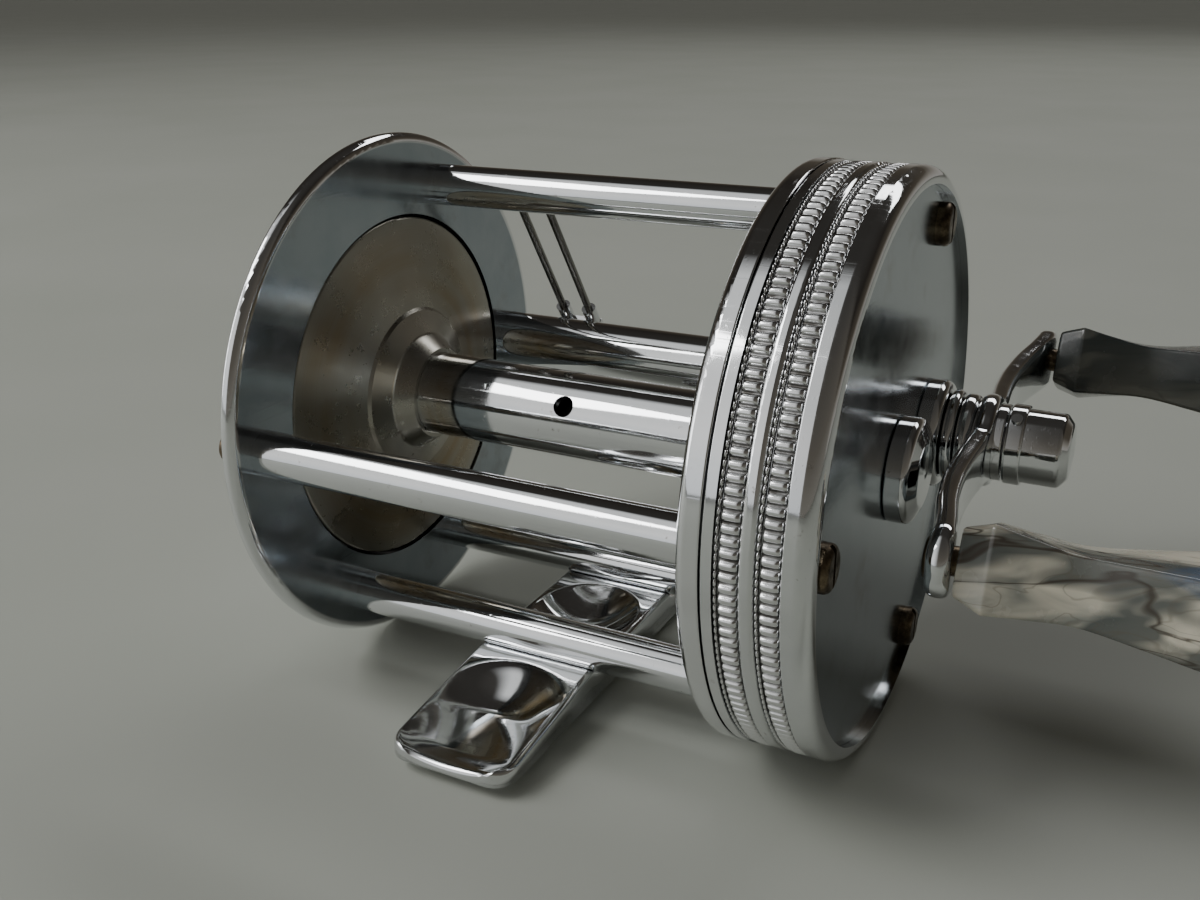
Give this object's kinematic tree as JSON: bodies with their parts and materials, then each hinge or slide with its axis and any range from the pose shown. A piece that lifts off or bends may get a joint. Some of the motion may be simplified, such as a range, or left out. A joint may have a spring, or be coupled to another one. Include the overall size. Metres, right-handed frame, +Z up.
{
  "type": "trolling reel",
  "caption": "Small trolling reel with a level wind: geared spool between round chrome sides, a double crank with marbled grips, and a stamped foot for a rod.",
  "frame": {"origin": "centre of the foot's underside, where it lies on the rod's seat", "axes": "+X along the spool towards the crank, +Y towards the level wind, +Z up from the foot"},
  "size_m": [0.0998, 0.0659, 0.0526],
  "materials": {
    "polished_chrome": "polished plate with fine scratches",
    "satin_chrome": "satin plate, half a mirror",
    "spool_nickel": "dull plate over brass with brown stains",
    "screw_steel": "tarnished, worn bright on the heads",
    "steel": "turned",
    "brass": "turned",
    "knob_plastic": "cream marbled with grey and brown veins, glossy"
  },
  "bodies": {
    "frame": {"tail_ring": "polished_chrome", "head_ring": "polished_chrome", "top_pillar": "polished_chrome", "rear_pillar": "polished_chrome", "rear_foot_pillar": "polished_chrome", "front_foot_pillar": "polished_chrome", "level_wind_tube": "polished_chrome", "worm_bush_tail": "brass", "worm_bush_head": "brass", "foot": "polished_chrome", "foot_screws": "screw_steel", "tail_cover": "polished_chrome", "tail_screws": "screw_steel", "tail_bush": "brass", "tail_bearing_cap": "polished_chrome", "click_spring": "steel", "bridge_plate": "steel", "bridge_screw": "screw_steel", "head_cup": "polished_chrome", "face_plate": "satin_chrome", "face_screws": "screw_steel", "head_bush": "brass", "crank_bushing": "polished_chrome"},
    "spool": {"spool_flange_tail": "spool_nickel", "spool_flange_head": "spool_nickel", "spool_arbor": "satin_chrome", "spool_shaft": "steel", "spool_pinion": "brass", "click_ratchet": "brass"},
    "crank": {"crank_shaft": "steel", "drive_gear": "brass", "crank_washer": "polished_chrome", "arm_spacer": "polished_chrome", "crank_arm": "polished_chrome", "arm_collar": "polished_chrome", "crank_nut": "polished_chrome", "nut_lock_screw": "screw_steel", "front_knob_spindle": "screw_steel", "rear_knob_spindle": "screw_steel"},
    "front_grip": {"front_knob": "knob_plastic"},
    "rear_grip": {"rear_knob": "knob_plastic"},
    "worm": {"worm_shaft": "steel", "worm_pinion": "brass"},
    "guide": {"line_guide_carriage": "satin_chrome", "line_guide_wire": "satin_chrome", "guide_pawl": "steel", "pawl_cap": "satin_chrome"},
    "tension_cap": {"spool_tension_cap": "polished_chrome"},
    "click": {"click_button": "satin_chrome", "click_pawl": "steel"}
  },
  "joints": [
    {"name": "crank_spin", "type": "hinge", "parent": "frame", "child": "crank", "pos_m": [0, 0.0108, 0.025], "axis": [1, 0, 0], "continuous": true},
    {"name": "spool_spin", "type": "hinge", "parent": "frame", "child": "spool", "pos_m": [0, 0, 0.025], "axis": [1, 0, 0], "continuous": true},
    {"name": "worm_spin", "type": "hinge", "parent": "frame", "child": "worm", "pos_m": [0, 0.022, 0.025], "axis": [1, 0, 0], "continuous": true},
    {"name": "front_knob_spin", "type": "hinge", "parent": "crank", "child": "front_grip", "pos_m": [0, 0.03464, 0.02667], "axis": [1, 0, 0], "continuous": true},
    {"name": "rear_knob_spin", "type": "hinge", "parent": "crank", "child": "rear_grip", "pos_m": [0, -0.01304, 0.02333], "axis": [1, 0, 0], "continuous": true},
    {"name": "guide_travel", "type": "slide", "parent": "frame", "child": "guide", "axis": [1, 0, 0], "range_m": [-0.0026, 0.0294]},
    {"name": "tension_cap_turn", "type": "hinge", "parent": "frame", "child": "tension_cap", "pos_m": [0, 0, 0.025], "axis": [1, 0, 0], "range_deg": [-180, 180]},
    {"name": "click_slide", "type": "slide", "parent": "frame", "child": "click", "axis": [0, 0, -1], "range_m": [0, 0.003]}
  ],
  "couplings": [
    {"joint": "spool_spin", "follows": "crank_spin", "ratio": -3.9091},
    {"joint": "worm_spin", "follows": "crank_spin", "ratio": -3.3077}
  ]
}
